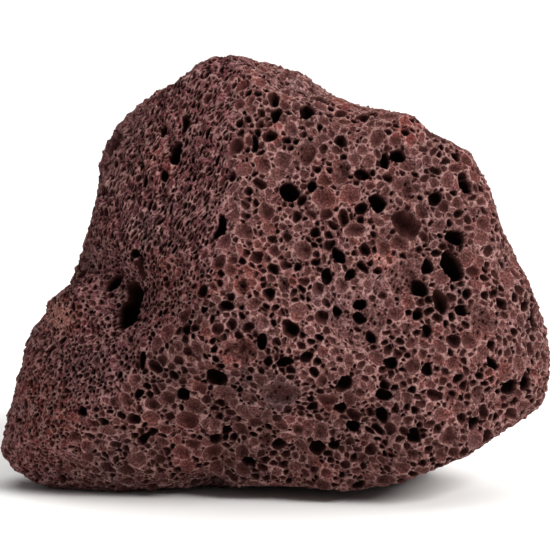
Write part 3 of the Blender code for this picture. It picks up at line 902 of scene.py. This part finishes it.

# The thin walls between bubbles are broken through and dusty, and their paleness is also
# painted highlight, where the edges would catch the light.
outer_edge = add_node(
    tree, "ShaderNodeMapRange",
    {"Value": gap, "From Min": 0.18, "From Max": 0.03}, interpolation_type="SMOOTHSTEP",
).outputs[0]
inner_edge = add_node(
    tree, "ShaderNodeMapRange",
    {"Value": gap, "From Min": -0.1, "From Max": 0.0}, interpolation_type="SMOOTHSTEP",
).outputs[0]
wall = add_node(
    tree, "ShaderNodeMath", {0: outer_edge, 1: inner_edge}, operation="MULTIPLY",
).outputs[0]
fine_net = add_node(
    tree, "ShaderNodeMapRange",
    {"Value": fine.outputs["Distance"], "From Min": 0.45, "From Max": 0.7, "To Max": 0.7},
    interpolation_type="SMOOTHSTEP",
).outputs[0]
fine_wall = add_node(
    tree, "ShaderNodeMath", {0: fine_net, 1: on_skin}, operation="MULTIPLY",
).outputs[0]
any_wall = add_node(
    tree, "ShaderNodeMath", {0: wall, 1: fine_wall}, operation="MAXIMUM",
).outputs[0]
dust_and_highlight_strength = add_node(
    tree, "ShaderNodeMapRange",
    {"Value": mottle, "From Min": 0.36, "From Max": 0.66, "To Min": 0.0, "To Max": 0.95},
    interpolation_type="SMOOTHSTEP",
).outputs[0]
# Dust and painted highlight together on the walls.
wall_dust_and_highlight = add_node(
    tree, "ShaderNodeMath", {0: any_wall, 1: dust_and_highlight_strength}, operation="MULTIPLY",
).outputs[0]
with_dust_and_highlight = add_node(
    tree, "ShaderNodeMix", {0: wall_dust_and_highlight, 6: grainy, 7: linear(WALL_DUST_AND_HIGHLIGHT)}, data_type="RGBA",
).outputs[2]

# Painted shade: down in a hollow the colour is a darker red, and deep in a hole it is
# nearly black, where the light would hardly reach.
ragged_depth = add_node(
    tree, "ShaderNodeMath", {0: grain, 1: -0.8, 2: depth}, operation="MULTIPLY_ADD",
).outputs[0]
hollow_shade_amount = add_node(
    tree, "ShaderNodeMapRange",
    {"Value": ragged_depth, "From Min": -0.44, "From Max": 0.28, "To Max": 0.95},
    interpolation_type="SMOOTHSTEP",
).outputs[0]
hollow_shade_mask = add_node(
    tree, "ShaderNodeMath", {0: hollow_shade_amount, 1: fine_pit}, operation="MAXIMUM",
).outputs[0]
shaded = add_node(
    tree, "ShaderNodeMix", {0: hollow_shade_mask, 6: with_dust_and_highlight, 7: linear(HOLLOW_PAINTED_SHADE)}, data_type="RGBA",
).outputs[2]
hole_shade_amount = add_node(
    tree, "ShaderNodeMapRange",
    {"Value": ragged_depth, "From Min": 0.2, "From Max": 1.0, "To Max": 0.98},
    interpolation_type="SMOOTHSTEP",
).outputs[0]
# The fine dots get the same painted shade as the holes.
fine_hole_shade = add_node(
    tree, "ShaderNodeMapRange",
    {"Value": fine_pit, "From Min": 0.35, "From Max": 1.0, "To Max": 0.9},
).outputs[0]
hole_shade_mask = add_node(
    tree, "ShaderNodeMath", {0: hole_shade_amount, 1: fine_hole_shade}, operation="MAXIMUM",
).outputs[0]
colour = add_node(
    tree, "ShaderNodeMix", {0: hole_shade_mask, 6: shaded, 7: linear(CAVITY_PAINTED_SHADE)}, data_type="RGBA",
).outputs[2]

height = add_node(
    tree, "ShaderNodeMath", {0: fine_pit, 1: -1.0, 2: grain}, operation="MULTIPLY_ADD",
).outputs[0]
bump = add_node(
    tree, "ShaderNodeBump", {"Height": height, "Strength": 0.9, "Distance": 0.45 * MM},
).outputs["Normal"]
# Basalt glass has an IOR of about 1.5, but broken as fine as this it hardly shines.
shader = add_node(
    tree, "ShaderNodeBsdfPrincipled",
    {
        "Base Color": colour, "Normal": bump, "Roughness": 0.93, "IOR": 1.5,
        "Specular IOR Level": 0.08,
    },
).outputs["BSDF"]
add_node(tree, "ShaderNodeOutputMaterial", {"Surface": shader})
stone_mesh.materials.clear()
stone_mesh.materials.append(scoria)

# THE FLOOR
# A sheet of matt white paper board, larger than the view.

FLOOR_HALF = 3.0
FLOOR_WHITE = "#f4f3f1"
FLOOR_ROUGHNESS = 0.9

floor_mesh = new_mesh(
    "studio_floor",
    np.array([(-1, -1, 0), (1, -1, 0), (1, 1, 0), (-1, 1, 0)]) * FLOOR_HALF,
    np.array([(0, 1, 2, 3)]),
)
paper = bpy.data.materials.new("matt_paper_board")
paper.use_nodes = True
paper_shader = paper.node_tree.nodes["Principled BSDF"]
paper_shader.inputs["Base Color"].default_value = linear(FLOOR_WHITE)
paper_shader.inputs["Roughness"].default_value = FLOOR_ROUGHNESS
floor_mesh.materials.append(paper)
floor = bpy.data.objects.new("studio_floor", floor_mesh)
bpy.context.scene.collection.objects.link(floor)

# THE LIGHT
# A white room, a wide soft panel overhead, and a soft box from the upper right in front.

ROOM_WHITE = "#ffffff"
ROOM_STRENGTH = 0.22
BOX_POWER = 19.0
BOX_SIZE = 0.5
BOX_PLACE = (0.80, -0.60, 0.75)
BOX_TARGET = (0.0, 0.0, 0.035)
PANEL_POWER = 22.0
PANEL_SIZE = 2.0
PANEL_PLACE = (0.2, 0.45, 1.30)

world = bpy.data.worlds.new("white_room")
world.use_nodes = True
background = world.node_tree.nodes["Background"]
background.inputs["Color"].default_value = linear(ROOM_WHITE)
background.inputs["Strength"].default_value = ROOM_STRENGTH
bpy.context.scene.world = world


def aimed(name, data, place, target):
    """An object at place whose -Z axis points at target."""
    holder = bpy.data.objects.new(name, data)
    bpy.context.scene.collection.objects.link(holder)
    holder.location = place
    holder.rotation_euler = (Vector(target) - Vector(place)).to_track_quat("-Z", "Y").to_euler()
    return holder


soft_box = bpy.data.lights.new("soft_box", "AREA")
soft_box.energy = BOX_POWER
soft_box.size = BOX_SIZE
aimed("soft_box", soft_box, BOX_PLACE, BOX_TARGET)
panel = bpy.data.lights.new("overhead_panel", "AREA")
panel.energy = PANEL_POWER
panel.size = PANEL_SIZE
aimed("overhead_panel", panel, PANEL_PLACE, (PANEL_PLACE[0], PANEL_PLACE[1], 0.0))

# THE CAMERA
# A long lens, level with the lump's middle but for 10 degrees of height, so that the
# lump nearly fills the frame's width.

LENS = 400.0
SENSOR = 36.0
FRAME_WIDTH = 0.1004
VIEW_HEIGHT = math.radians(10.0)
VIEW_MIDDLE = (0.0, 0.0, 0.0386)

camera = bpy.data.cameras.new("camera")
camera.lens = LENS
camera.sensor_width = SENSOR
far = LENS / SENSOR * FRAME_WIDTH
camera_place = (
    VIEW_MIDDLE[0],
    VIEW_MIDDLE[1] - far * math.cos(VIEW_HEIGHT),
    VIEW_MIDDLE[2] + far * math.sin(VIEW_HEIGHT),
)
bpy.context.scene.camera = aimed("camera", camera, camera_place, VIEW_MIDDLE)
bpy.context.scene.view_settings.view_transform = "Standard"
